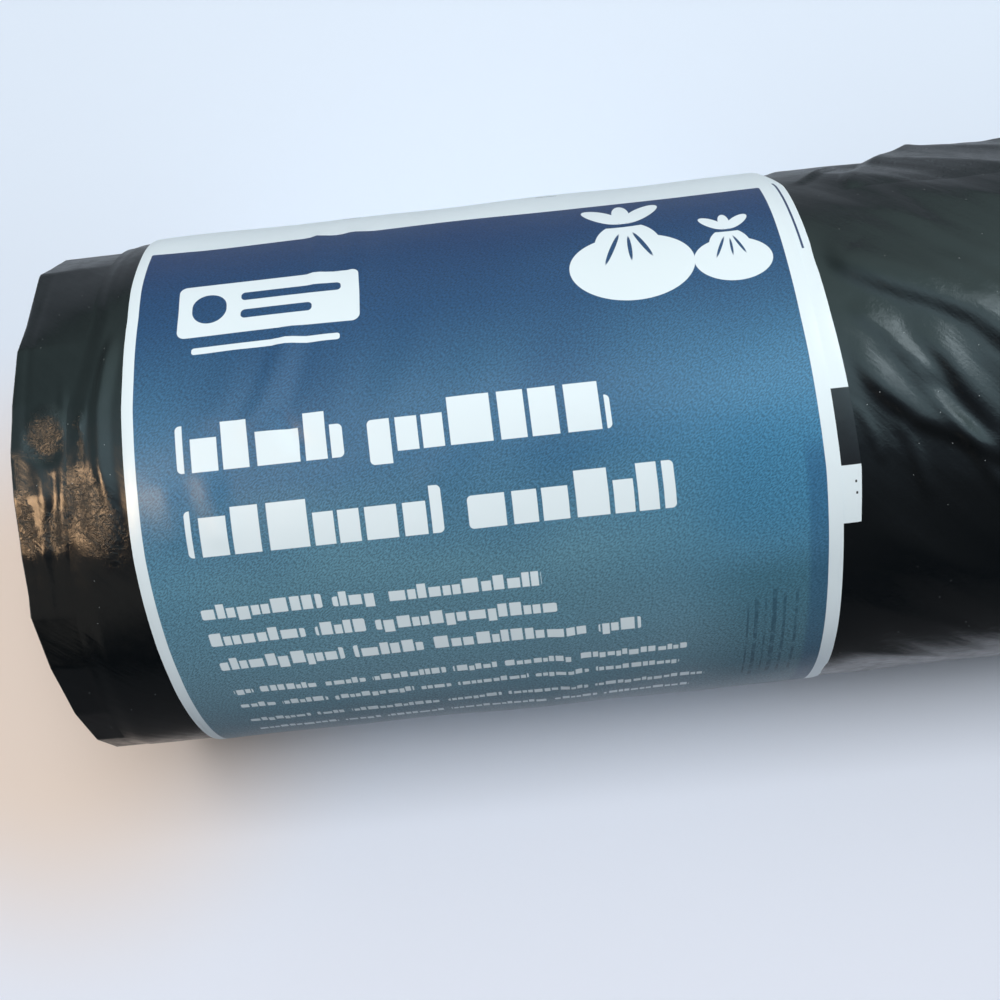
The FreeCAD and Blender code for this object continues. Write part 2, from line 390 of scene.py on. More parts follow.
@dataclass(frozen=True)
class OuterTurns:
    """The outer turns of film: a thick sleeve, smooth under the band and loosely folded beside it."""

    roll: Roll
    pressed: PressedFilm
    wall: float = 2.2
    left_edge: float = -76.9
    edge_angles: tuple[float, ...] = (-180, -110, -70, -54, -44, -29, -18, -9, 0, 13, 24, 35, 50, 67, 90, 130, 180)
    edge_places: tuple[float, ...] = (-76.6, -74.4, -74.3, -74.4, -74.8, -75.0, -75.8, -76.9, -77.1, -77.6, -78.3,
                                      -78.9, -79.0, -79.5, -80.8, -79.6, -76.6)
    left_shift_reach: float = 4.6
    edge_drop: float = 0.3
    edge_drop_length: float = 2.2
    under_band: float = 0.3
    covered_from: float = 0.8
    covered_to: float = 2.6
    cover_fade: float = 1.2
    strip_to: float = 0.3
    band_rows_from: float = 1.0
    band_rows_to: float = 3.0
    loose_rise: Pair = (1.5, 7.0)
    named_rise: Pair = (1.0, 3.0)
    bulge_rise: Pair = (2.0, 2.4)
    ridge_level: float = 0.8
    column_count: int = 420
    left_rows: int = 22
    band_rows: int = 26
    right_rows: int = 150
    right_bunching: float = 1.25
    end_bevel: float = 0.35
    end_bevel_rows: int = 4

    folds: tuple[tuple[Waves, float], ...] = (
        (Waves(seed=11, count=5, lobes=(5, 9), length=(60.0, 160.0), twist=1.3), 0.1),
        (Waves(seed=12, count=7, lobes=(11, 19), length=(34.0, 90.0), twist=1.5), 0.06),
        (Waves(seed=13, count=9, lobes=(24, 40), length=(18.0, 46.0), twist=1.6), 0.012),
    )
    ridges: tuple[tuple[Waves, float], ...] = (
        (Waves(seed=21, count=5, lobes=(8, 13), length=(40.0, 90.0), twist=1.6), 0.12),
        (Waves(seed=22, count=7, lobes=(20, 34), length=(16.0, 44.0), twist=1.7), 0.02),
    )
    named_folds: tuple[Crease, ...] = (
        Crease(((2.2, -33.0), (5.5, -22.5), (9.0, -18.2), (13.5, -13.7), (18.0, -8.7), (21.0, -3.0), (27.0, 7.0),
                (35.0, 18.0)), 0.75, 6.0, 2.2, True),
        Crease(((6.6, -38.0), (8.3, -34.0), (11.8, -26.0), (15.1, -20.4), (18.7, -17.0), (21.5, -12.3), (27.0, -3.0),
                (33.0, 6.0)), 0.3, 2.8, 4.0, True),
        Crease(((7.6, -58.0), (9.0, -53.0), (12.1, -43.5), (14.2, -36.0), (16.3, -29.0), (20.0, -22.0), (26.0, -16.0)),
               0.26, 2.6, 4.0, True),
        Crease(((10.6, -9.0), (12.0, -6.5), (14.7, 0.5), (16.2, 6.3), (18.2, 12.0), (22.0, 21.0), (27.0, 31.0)),
               0.5, 3.0, 1.6, True),
        Crease(((3.6, -7.0), (4.6, -3.3), (7.7, 5.0), (10.9, 10.8), (14.8, 14.6), (18.4, 18.6), (24.0, 25.0),
                (30.0, 32.0)), 0.42, 2.4, 1.4, True),
        Crease(((11.2, 3.0), (12.2, 6.2), (15.1, 13.2), (18.1, 23.0), (21.0, 31.0)), 0.3, 1.6, 1.2, True),
        Crease(((5.2, -14.0), (6.2, -11.8), (8.7, -7.0), (11.0, -0.5), (12.6, 7.0)), 0.3, 2.6, 1.6, True),
        Crease(((4.2, 5.0), (6.0, 13.0), (7.2, 20.0)), 0.16, 1.0, 0.8, True),
        Crease(((8.6, 9.0), (10.2, 17.0), (12.0, 28.0)), 0.22, 1.2, 1.0, True),
        Crease(((16.6, -42.0), (16.1, -28.8), (15.4, -17.5), (15.4, -9.0)), -0.03, 0.35),
        Crease(((2.0, -50.0), (3.0, -52.6), (4.9, -53.6), (7.1, -57.5), (8.8, -61.9), (11.0, -69.0)), 0.4, 2.0, 0.7),
    )
    top_bulge: Crease = Crease(((-6.0, -84.0), (5.0, -80.0), (14.0, -78.0), (30.0, -79.0), (50.0, -84.0)), 0.55, 10.0,
                               rounded=True)
    left_marks: tuple[Crease | Patch, ...] = (
        Crease(((-71.9, -26.0), (-72.7, -19.0), (-73.6, -8.0), (-73.7, 3.0), (-73.0, 14.0)), 0.34, 1.5, 0.9, True),
        Crease(((-74.9, -10.0), (-75.5, -4.0), (-75.8, 4.0)), 0.14, 0.5, 0.5),
        Crease(((-74.4, 0.0), (-74.9, 12.0), (-73.4, 24.0)), 0.1, 0.9),
        Crease(((-72.4, -62.0), (-72.9, -40.0), (-72.6, -30.0)), -0.08, 0.8),
    )
    patches: tuple[Patch, ...] = (
        Patch(-74.7, 13.2, (2.1, 4.7), (0.11, 0.04), -18.0),
        Patch(-75.6, -2.6, (0.3, 2.6), (0.1, -0.1)),
    )

    def edge(self, angle: np.ndarray) -> np.ndarray:
        """The sleeve's askew left edge, by a table of places."""
        return np.interp(angle, self.edge_angles, self.edge_places)

    def beside_band(self, x: np.ndarray, rise: Pair) -> np.ndarray:
        """Rises from 0 to 1 right of the band, from a distance before its edge over a length."""
        return smooth((x - self.roll.band_right + rise[0]) / rise[1])

    def height(self, x: np.ndarray, angle: np.ndarray) -> np.ndarray:
        """The film's height above the round roll.

        Right of the band it is smooth waves, sharp ridges (the waves' size turned into a crest) and the folds that
        the front shows, all growing from nothing at the band. Under the band it is what the band shows, a little
        lower. Left of it, it is short creases along the rim.
        """
        roll = self.roll
        loose = sum(size * waves(x, angle) for waves, size in self.folds)
        sharp = sum(size * (self.ridge_level - np.abs(waves(x, angle))) for waves, size in self.ridges)
        named = self.beside_band(x, self.named_rise) * creased(self.named_folds, x, angle, roll.radius)
        bulge = self.beside_band(x, self.bulge_rise) * self.top_bulge.lift(x, angle, roll.radius)
        folded = self.beside_band(x, self.loose_rise) * (loose + sharp) + named + bulge
        covered = smooth((x - roll.band_left - self.covered_from) / self.cover_fade)
        covered = covered * smooth((roll.band_right - self.covered_to - x) / self.cover_fade)
        strip = smooth((roll.band_left + self.strip_to - x) / self.cover_fade)
        rim = strip * creased(self.left_marks + self.patches, x, angle, roll.radius)
        rim = rim - self.edge_drop * smooth(1 - (x - self.edge(angle)) / self.edge_drop_length)
        return folded + rim + covered * (self.pressed.lift(x, angle) - self.under_band)

    def make(self) -> bpy.types.Object:
        """Builds the sleeve: its outer face, its rounded right rim, its inner wall and its left edge, as one net.

        Each row is a ring round the roll. The rings' places run evenly over the left strip and under the band, and
        get wider apart by a power of their number to the right of it.
        """
        roll = self.roll
        angle = np.linspace(-HALF_TURN, HALF_TURN, self.column_count, endpoint=False)
        under_start = roll.band_left + self.band_rows_from
        under_end = roll.band_right - self.band_rows_to
        left = np.linspace(self.left_edge, under_start, self.left_rows, endpoint=False)
        under = np.linspace(under_start, under_end, self.band_rows, endpoint=False)
        share = np.linspace(0.0, 1.0, self.right_rows) ** self.right_bunching
        right = under_end + share * (roll.right - self.end_bevel - under_end)
        x = np.concatenate([left, under, right])[:, None] + np.zeros_like(angle)
        shift = self.edge(angle) - self.left_edge
        x = x + shift * smooth((self.left_edge + self.left_shift_reach - x) / self.left_shift_reach)
        radius = roll.radius + self.height(x, angle)

        bend = np.linspace(0.0, math.pi / 2, self.end_bevel_rows + 1)[1:, None]
        rim_x = x[-1] + self.end_bevel * np.sin(bend)
        rim_radius = radius[-1] - self.end_bevel * (1 - np.cos(bend))
        edge = self.edge(angle)
        inside_x = np.stack([x[-1] + self.end_bevel, x[-1] - 1.0, edge + 2.0, edge])
        inside_radius = np.full_like(inside_x, roll.radius - self.wall)
        edge_x = edge[None, :]
        edge_radius = radius[:1] - 0.06

        all_x = np.concatenate([x, rim_x, inside_x, edge_x])
        all_radius = np.concatenate([radius, rim_radius, inside_radius, edge_radius])
        under_band = smooth((all_x - roll.band_left) / 0.8) * smooth((roll.band_right - 2.0 - all_x) / 0.8)
        points = roll.place(all_x, angle, all_radius)
        floor = under_band * (roll.band_gap + roll.band_thickness + 0.02)
        points[..., 2] = np.maximum(points[..., 2], floor)
        turn = np.linspace(-HALF_TURN, HALF_TURN, self.column_count + 1)
        closing = np.concatenate([all_x, all_x[:1]])
        closing = np.concatenate([closing, closing[:, :1]], axis=1)
        flat = np.stack(np.broadcast_arrays(closing, roll.arc(turn)), axis=-1)
        return Net(points, flat, rows_close=True).make("outer_turns")


@dataclass(frozen=True)
class InnerTurns:
    """The inner turns: the creased plug at the left end, both end faces with their film edges, and the core hole."""

    roll: Roll
    rim: Line = (
        (-152, 29.65), (-136, 29.65), (-121, 29.7), (-105, 29.8), (-90, 30.0), (-72, 30.05), (-54, 29.9),
        (-25, 29.65), (-12, 29.6), (-2, 29.65), (8, 29.6), (20, 29.55), (33, 29.7), (47, 29.5), (63, 29.8),
        (77, 30.4), (90, 30.7), (104, 30.65), (118, 30.3), (133, 29.9), (158, 29.65), (183, 29.6),
    )
    end_angles: tuple[float, ...] = (-180, -90, -60, -53, -34, -25, -9, 0, 17, 28, 33, 55, 70, 90, 130, 180)
    end_places: tuple[float, ...] = (-83.1, -83.0, -83.1, -83.4, -83.0, -83.1, -83.2, -83.4, -83.4, -83.6, -83.9,
                                     -83.7, -83.6, -83.4, -83.2, -83.1)
    seat_angles: tuple[float, ...] = (-180, 45, 66, 85, 110, 140, 180)
    seat_radii: tuple[float, ...] = (30.1, 30.1, 30.3, 30.7, 30.7, 30.2, 30.1)
    rim_power: float = 1.6
    seat: float = -69.5
    hidden_radius: float = 28.4
    right_radius: float = 28.7
    core_width: float = 13.0
    core_height: float = 10.0
    core_lean: float = 25.0
    turn_width: float = 2.6
    turn_gap: float = 0.6
    gap_depth: float = 1.0
    gap_wall: float = 0.25
    first_gap_radius: float = 9.0
    first_gap_fade: Pair = (1.0, 0.6)
    last_gap_fade: float = 0.5
    step_fade: float = 0.5
    flats_per_turn: int = 17
    thin_turn_width: float = 0.65
    thin_turn_height: float = 0.14
    thin_turn_wander: float = 0.4
    left_setbacks: Line = ((15.0, 0.9),)
    right_setbacks: Line = ((25.0, 0.9), (18.5, 0.8), (12.5, 0.9))
    column_count: int = 384
    side_rows: int = 44
    face_rows: int = 84
    rim_bevel: float = 0.12
    marks: tuple[Crease | Patch, ...] = (
        Crease(((-81.6, -66.0), (-81.8, -30.0), (-81.6, 0.0), (-82.1, 20.0), (-82.3, 48.0)), -0.05, 0.6),
        Crease(((-77.7, -18.0), (-77.6, -6.0), (-78.3, 8.0), (-79.0, 26.0)), 0.12, 0.8, 0.5),
        Crease(((-80.8, 0.0), (-80.2, 10.0), (-81.2, 24.0)), 0.14, 0.9, 0.6),
        Crease(((-78.6, 2.0), (-78.9, 9.0), (-80.3, 15.0)), -0.1, 0.7),
        Crease(((-81.2, 16.0), (-81.0, 26.0), (-81.6, 34.0)), 0.1, 0.7),
        Crease(((-80.6, -72.0), (-79.4, -58.0), (-76.5, -48.0)), 0.06, 1.2),
        Crease(((-79.2, 30.0), (-79.3, 48.0), (-79.9, 66.0), (-81.6, 90.0)), 0.07, 0.5),
    )
    patches: tuple[Patch, ...] = (
        Patch(-79.5, -4.6, (2.0, 2.7), (0.1, -0.2)),
        Patch(-82.0, 13.2, (0.85, 3.2), (0.1, 0.0)),
        Patch(-79.0, 15.2, (1.3, 2.2), (0.1, 0.0)),
    )
    waves: Waves = Waves(seed=31, count=9, lobes=(10, 26), length=(7.0, 20.0), twist=0.3)
    wave_height: float = 0.012

    def angles(self) -> np.ndarray:
        """The columns' angles, evenly spread over each flat of the rim so that its corners stay sharp."""
        corners = np.array([angle for angle, _ in self.rim] + [self.rim[0][0] + FULL_TURN])
        share = (corners - corners[0]) / FULL_TURN * self.column_count
        return np.interp(np.arange(self.column_count), np.round(share), corners)

    def rim_radius(self, angle: np.ndarray) -> np.ndarray:
        """The rim's radius between its corners.

        A straight line between two corners in polar form has the radius of their radii's product times the sine of
        the angle between them, over each radius times the sine of the angle from the other corner, added up.
        """
        corners = np.radians([turn for turn, _ in self.rim] + [self.rim[0][0] + FULL_TURN])
        radii = np.array([radius for _, radius in self.rim] + [self.rim[0][1]])
        turn = np.radians(angle)
        flat = np.clip(np.searchsorted(corners, turn + 1e-9, side="right") - 1, 0, len(self.rim) - 1)
        start, end, near, far = corners[flat], corners[flat + 1], radii[flat], radii[flat + 1]
        return near * far * np.sin(end - start) / (near * np.sin(turn - start) + far * np.sin(end - turn))

    def core_radius(self, angle: np.ndarray) -> np.ndarray:
        """The core hole's radius: an ellipse in polar form, leaning from straight up."""
        lean = np.radians(angle - self.core_lean)
        return 1 / np.hypot(np.cos(lean) / (self.core_width / 2), np.sin(lean) / (self.core_height / 2))

    def set_back(self, radius: np.ndarray, angle: np.ndarray, steps: Line) -> np.ndarray:
        """How far an end face lies in from the end.

        The radius is first stretched to follow turns creased into flats. The turns inside each step's radius are
        pushed in by its depth. A spiral furrow, one turn width further out each turn, shows the gap between turns,
        and a finer spiral ridge shows the layers of film.
        """
        fold = math.pi / self.flats_per_turn
        lean = np.mod(np.radians(angle), 2 * fold) - fold
        wound = radius * np.cos(lean) / math.cos(fold)
        pushed = sum(depth * smooth((limit - wound) / self.step_fade) for limit, depth in steps)
        turn = angle / FULL_TURN
        outward = wound - self.first_gap_radius
        phase = np.mod(outward / self.turn_width - turn, 1.0) * self.turn_width
        furrow = smooth(phase / self.gap_wall) * smooth((self.turn_gap - phase) / self.gap_wall)
        furrow = furrow * smooth((outward + self.first_gap_fade[0]) / self.first_gap_fade[1])
        furrow = furrow * smooth((self.hidden_radius - wound) / self.last_gap_fade)
        thin = np.mod(outward / self.thin_turn_width - turn, 1.0)
        layers = np.abs(2 * thin - 1) + self.thin_turn_wander * self.waves(radius, angle)
        return pushed + self.gap_depth * furrow + self.thin_turn_height * layers

    def make(self) -> bpy.types.Object:
        """Builds the plug as one closed net of rings: side, left face, core wall, right face and hidden wall."""
        roll = self.roll
        angle = self.angles()
        rim = self.rim_radius(angle)
        core = self.core_radius(angle)

        along = np.linspace(0.0, 1.0, self.side_rows)[:, None]
        wrapped = within_turn(angle)
        end = np.interp(wrapped, self.end_angles, self.end_places)
        side_x = self.seat + (end + self.rim_bevel - self.seat) * along
        seat_radius = np.interp(wrapped, self.seat_angles, self.seat_radii)
        side_radius = seat_radius + (rim - seat_radius) * along ** self.rim_power
        wrinkled = creased(self.marks + self.patches, side_x, wrapped, roll.radius)
        wrinkled = wrinkled + self.wave_height * self.waves(side_x, angle)
        side_radius = side_radius + wrinkled * smooth(along * 4)

        inward = (np.linspace(0.0, 1.0, self.face_rows) ** 0.9)[:, None]
        left_radius = (rim - self.rim_bevel) * (1 - inward) + core * inward
        left_x = end + self.set_back(left_radius, angle, self.left_setbacks)
        left_x = left_x - self.set_back(left_radius[:1], angle, self.left_setbacks) * (1 - smooth(inward * 30))
        right_radius = core * inward[::-1] + self.right_radius * (1 - inward[::-1])
        right_x = roll.right - self.set_back(right_radius, angle, self.right_setbacks)

        hidden_x = np.array((roll.right - 4.0, self.seat))[:, None] + np.zeros_like(angle)
        hidden_radius = np.full_like(hidden_x, self.hidden_radius)
        x = np.concatenate([side_x, left_x, right_x, hidden_x])
        radius = np.concatenate([side_radius, left_radius, right_radius, hidden_radius])
        points = roll.place(x, angle, radius)
        turn = np.append(angle, angle[0] + FULL_TURN)
        profile = np.concatenate([side_x[:, 0], left_radius[:, 0] - 300, right_radius[:, 0] + 300, hidden_x[:, 0]])
        profile = np.append(profile, profile[-1] - 1)
        flat = np.stack(np.broadcast_arrays(profile[:, None], roll.arc(turn)), axis=-1)
        return Net(points, flat, rows_close=True, turned=True).make("inner_turns")


@dataclass(frozen=True)
class LooseTail:
    """The free end of the last bag: a thin flap that leaves the roll smoothly and whose edge stands off."""

    roll: Roll
    film: OuterTurns
    leave_angle: float = -42.0
    edge_angle: float = -76.0
    lift: float = 1.25
    thickness: float = 0.12
    sunk_start: float = 0.25
    left_at_leave: float = 6.0
    left_at_edge: float = 17.4
    left_power: float = 1.6
    rise_length: float = 3.2
    rise_power: float = 1.5
    peak: float = 0.14
    peak_sharpness: float = 6.0
    surfacing: float = 3.5
    clear_of_end: float = 2.0
    row_bunching: float = 1.3
    edge_ripple: tuple[tuple[float, float, float], ...] = ((0.5, 7.0, 0.0), (0.3, 3.1, 1.0))
    height_ripple: Pair = (0.1, 9.0)
    rows: int = 170
    columns: int = 56

    def make(self) -> bpy.types.Object:
        """Builds the flap as a closed thin net: rows run along the roll, columns go out over it and back under it.

        Its height over the film grows with the square of the share of the way to its edge, and from nothing at its
        left border to a small peak, from where it stays level.
        """
        share = np.linspace(0.0, 1.0, self.columns)
        along = np.linspace(0.0, 1.0, self.rows)[:, None] ** self.row_bunching
        angle = self.leave_angle + (self.edge_angle - self.leave_angle) * share
        left = self.left_at_leave + (self.left_at_edge - self.left_at_leave) * share ** self.left_power
        right = self.roll.right - self.clear_of_end
        x = left + (right - left) * along
        ripple = sum(size * np.sin(x / length + phase) for size, length, phase in self.edge_ripple)
        angle = angle + ripple * share ** 2
        film = self.roll.radius + self.film.height(x, angle)
        risen = (x - left) / self.rise_length
        rise = np.clip(risen, 0.0, 1.0) ** self.rise_power
        rise = rise + self.peak * np.exp(-(risen - 1) ** 2 * self.peak_sharpness)
        rise = rise * (self.lift + self.height_ripple[0] * np.sin(x / self.height_ripple[1])) * share ** 2
        rise = rise - self.sunk_start * (1 - smooth(share * self.surfacing) * smooth(risen))
        top = self.roll.place(x, angle, film + rise + self.thickness)
        below = self.roll.place(x, angle, film + rise)
        return thin_sheet(top, below, np.stack([x, self.roll.arc(angle)], axis=-1)).make("loose_tail")


@dataclass(frozen=True)
class PaperBand:
    """The printed paper band: one strip wound once round the roll and on over its own start."""

    roll: Roll
    pressed: PressedFilm
    start_angle: float = 30.0
    overlap_angle: float = 116.0
    ramp_angle: float = 14.0
    along_count: int = 480
    across_count: int = 102
    edge_step: float = 0.35
    edge_drop: float = 0.1
    edge_round: float = 0.5
    edge_corner: float = 0.4
    lying_share: float = 0.6
    start_end_sweep: float = 150.0
    start_fade_sweep: float = 60.0
    back_shift: float = 200.0
    left_edge_angles: tuple[float, ...] = (-180, -70, -49, -37, -28, -20, -13, -7, 0, 10, 16, 22, 28, 42, 50, 61, 90,
                                           180)
    left_edge_shifts: tuple[float, ...] = (0.0, 0.75, 0.75, 0.65, 0.75, 0.59, 0.46, 0.29, 0.22, 0.1, -0.03, -0.13,
                                           -0.12, -0.04, 0.14, 0.24, 0.2, 0.0)
    right_edge_angles: tuple[float, ...] = (-180, -90, -52, -11, 19, 43, 61, 100, 180)
    right_edge_shifts: tuple[float, ...] = (0.0, -0.35, -0.42, -0.22, 0.34, 0.22, 0.0, 0.0, 0.0)
    start_edge_angles: tuple[float, ...] = (-120, -72, -60, -52, -39, -20, 4, 19, 30)
    start_edge_shifts: tuple[float, ...] = (0.0, -1.9, -1.2, -0.5, -0.5, -0.4, 0.0, 0.2, 0.0)

    @property
    def sweep_end(self) -> float:
        """The whole wrap in degrees."""
        return FULL_TURN + self.overlap_angle

    def make(self) -> bpy.types.Object:
        """Builds the strip as a closed net: rows run along the strip, columns go across its face and back.

        The angle falls from the start angle as the sweep grows, the left edge moves left by the skew each turn, and
        the radius grows by the paper and its gap over the ramp before the full turn. Both edges' places are shifted
        by tables of the angle. Where the strip would be under the floor it lies flat on it, its back a share of
        the paper's thickness above its face.
        """
        roll = self.roll
        sweep = np.linspace(0.0, self.sweep_end, self.along_count)[:, None]
        angle = self.start_angle - sweep
        wrapped = within_turn(angle)
        inner_share = np.linspace(0.0, 1.0, self.across_count - 4)
        edge = self.edge_step / roll.band_width
        corner = edge * self.edge_corner
        share = np.concatenate([[0.0, corner], edge + (1 - 2 * edge) * inner_share, [1 - corner, 1.0]])
        left = roll.band_left + roll.band_skew * (1 - sweep / FULL_TURN)
        shift = np.interp(wrapped, self.right_edge_angles, self.right_edge_shifts)
        on_start = 1 - smooth((sweep - self.start_end_sweep) / self.start_fade_sweep)
        shift = shift + on_start * np.interp(wrapped, self.start_edge_angles, self.start_edge_shifts)
        left_shift = np.interp(wrapped, self.left_edge_angles, self.left_edge_shifts)
        x = left + left_shift + (roll.band_width + shift - left_shift) * share
        over_start = smooth((sweep - FULL_TURN) / self.ramp_angle + 1)
        from_edge = np.minimum(share, 1 - share) * roll.band_width
        lift = over_start * (roll.band_thickness + roll.band_gap)
        lift = lift - self.edge_drop * (1 - smooth(from_edge / self.edge_round))
        outer = roll.band_radius + self.pressed.lift(x, wrapped) + lift
        top = roll.place(x, angle, outer)
        below = roll.place(x, angle, outer - roll.band_thickness, roll.band_thickness * self.lying_share)
        flat = np.stack(np.broadcast_arrays(share * roll.band_width, sweep), axis=-1)
        return thin_sheet(top, below, flat, self.back_shift, turned=True).make("paper_band")


class Signal:
    """A node's output that does arithmetic: an expression on signals adds the Math nodes that work it out."""

    def __init__(self, sheet: "NodeSheet", socket: bpy.types.NodeSocket) -> None:
        """Keeps the output and the node sheet that it belongs to."""
        self.sheet = sheet
        self.socket = socket

    def math(self, operation: str, *values: "Signal | float") -> "Signal":
        """The result of one Math node on these values."""
        return self.sheet.add("ShaderNodeMath", {"operation": operation}, dict(enumerate(values)))

    def __add__(self, other: "Signal | float") -> "Signal":
        """This plus the other."""
        return self.math("ADD", self, other)

    def __sub__(self, other: "Signal | float") -> "Signal":
        """This less the other."""
        return self.math("SUBTRACT", self, other)

    def __rsub__(self, other: float) -> "Signal":
        """The other less this."""
        return self.math("SUBTRACT", other, self)

    def __mul__(self, other: "Signal | float") -> "Signal":
        """This times the other."""
        return self.math("MULTIPLY", self, other)

    def __abs__(self) -> "Signal":
        """This without its sign."""
        return self.math("ABSOLUTE", self)

    __radd__ = __add__
    __rmul__ = __mul__

    def larger(self, other: "Signal | float") -> "Signal":
        """The larger of this and the other."""
        return self.math("MAXIMUM", self, other)

    def wave(self, rate: float) -> "Signal":
        """The sine of this times a rate."""
        return self.math("SINE", self * rate)

    def ramp(self, low: float, high: float) -> "Signal":
        """Rises smoothly from 0 at low to 1 at high. Low may be the larger, and then it falls."""
        ends = {"From Min": min(low, high), "From Max": max(low, high)}
        ends |= {"To Min": float(low > high), "To Max": float(low < high)}
        settings = {"interpolation_type": "SMOOTHSTEP"}
        return self.sheet.add("ShaderNodeMapRange", settings, {"Value": self} | ends)


class NodeSheet:
    """The nodes of one material, lamp or world."""

    def __init__(self, owner: bpy.types.ID) -> None:
        """Empties the owner's node tree and takes it over."""
        owner.use_nodes = True
        self.tree = owner.node_tree
        self.tree.nodes.clear()

    def node(self, kind: str, settings: dict[str, Any], inputs: dict[Any, Any]) -> bpy.types.Node:
        """Adds one node.

        Args:
            kind: The node's type name.
            settings: Its own settings, set first. stops gives a ramp's places and colours.
            inputs: Values or signals for its sockets, by name or number.

        Returns:
            The node.
        """
        node = self.tree.nodes.new(kind)
        for name, value in settings.items():
            if name == "stops":
                self.set_stops(node.color_ramp, value)
            else:
                setattr(node, name, value)
        for key, value in inputs.items():
            if isinstance(value, Signal):
                self.tree.links.new(value.socket, node.inputs[key])
            else:
                node.inputs[key].default_value = value
        return node

    @staticmethod
    def set_stops(ramp: bpy.types.ColorRamp, stops: Sequence[tuple[float, Colour]]) -> None:
        """Gives a colour ramp these places and colours."""
        while len(ramp.elements) < len(stops):
            ramp.elements.new(1.0)
        for element, (place, colour) in zip(ramp.elements, stops):
            element.position = place
            element.color = (*colour, 1.0)

    def add(self, kind: str, settings: dict[str, Any], inputs: dict[Any, Any], output: Any = 0) -> Signal:
        """Adds one node and returns one of its outputs."""
        return Signal(self, self.node(kind, settings, inputs).outputs[output])

    def vector(self, operation: str, *values: Any, output: Any = 0) -> Signal:
        """The result of one Vector Math node."""
        return self.add("ShaderNodeVectorMath", {"operation": operation}, dict(enumerate(values)), output)

    def scaled(self, vector: Signal, scale: Sequence[float]) -> Signal:
        """A vector with each of its parts scaled."""
        return self.vector("MULTIPLY", vector, tuple(scale))

    def brightened(self, colour: Signal, level: Signal) -> Signal:
        """A colour times a level."""
        return self.add("ShaderNodeVectorMath", {"operation": "SCALE"}, {0: colour, "Scale": level})

    def turned(self, vector: Signal, lean: float, size: Pair, middle: Pair = (0.0, 0.0)) -> Signal:
        """A flat vector's offset from a middle, turned back by a lean and in shares of a size."""
        return self.add("ShaderNodeMapping", {"vector_type": "TEXTURE"}, {
            "Vector": vector, "Location": (*middle, 0.0), "Rotation": (0.0, 0.0, math.radians(lean)),
            "Scale": (*size, 1.0)})

    def flat(self) -> Signal:
        """The flat coordinates of film or paper."""
        return self.add("ShaderNodeUVMap", {"uv_map": "flat"}, {})

    def place(self, scale: float = 1 / METRES) -> Signal:
        """The place on the object, in millimetres where no other scale is given."""
        return self.scaled(self.add("ShaderNodeTexCoord", {}, {}, "Object"), (scale, scale, scale))

    def glossy_ray(self) -> Signal:
        """1 where glossy surfaces look and 0 elsewhere."""
        return self.add("ShaderNodeLightPath", {}, {}, "Is Glossy Ray")

    def length(self, vector: Signal) -> Signal:
        """A vector's length."""
        return self.vector("LENGTH", vector, output="Value")

    def parts(self, vector: Signal) -> list[Signal]:
        """A vector's x, y and z."""
        node = self.node("ShaderNodeSeparateXYZ", {}, {0: vector})
        return [Signal(self, output) for output in node.outputs]

    def noise(self, vector: Signal, scale: float, detail: float = 2.0, roughness: float = 0.5) -> Signal:
        """Smooth noise from 0 to 1."""
        return self.add("ShaderNodeTexNoise", {}, {"Vector": vector, "Scale": scale, "Detail": detail,
                                                   "Roughness": roughness}, "Fac")

    def cells(self, vector: Signal, scale: float) -> tuple[Signal, Signal]:
        """The distance to the nearest random point, and that point's own random number."""
        node = self.node("ShaderNodeTexVoronoi", {"voronoi_dimensions": "2D"}, {"Vector": vector, "Scale": scale})
        pick = self.add("ShaderNodeSeparateColor", {}, {0: Signal(self, node.outputs["Color"])})
        return Signal(self, node.outputs["Distance"]), pick

    def blend(self, share: "Signal | float", first: Any, second: Any) -> Signal:
        """Two colours mixed by a share of the second."""
        inputs = {0: share, 6: self.colour(first), 7: self.colour(second)}
        return self.add("ShaderNodeMix", {"data_type": "RGBA"}, inputs, 2)

    @staticmethod
    def colour(value: Any) -> Any:
        """A plain colour with its alpha, or a signal as it is."""
        return value if isinstance(value, Signal) else (*value, 1.0)

    def bump(self, height: Signal) -> Signal:
        """Normals for a height in millimetres."""
        return self.add("ShaderNodeBump", {}, {"Strength": 1.0, "Distance": METRES, "Height": height}, "Normal")

    def finish(self, inputs: dict[str, Any]) -> None:
        """Ends a material with the main shader and these inputs."""
        shader = self.add("ShaderNodeBsdfPrincipled", {}, inputs)
        self.node("ShaderNodeOutputMaterial", {}, {"Surface": shader})


def largest(masks: Sequence[Signal]) -> Signal:
    """The largest of several masks."""
    return functools.reduce(Signal.larger, masks)


def material(name: str) -> tuple[bpy.types.Material, NodeSheet]:
    """A new material and its empty node sheet."""
    made = bpy.data.materials.new(name)
    return made, NodeSheet(made)


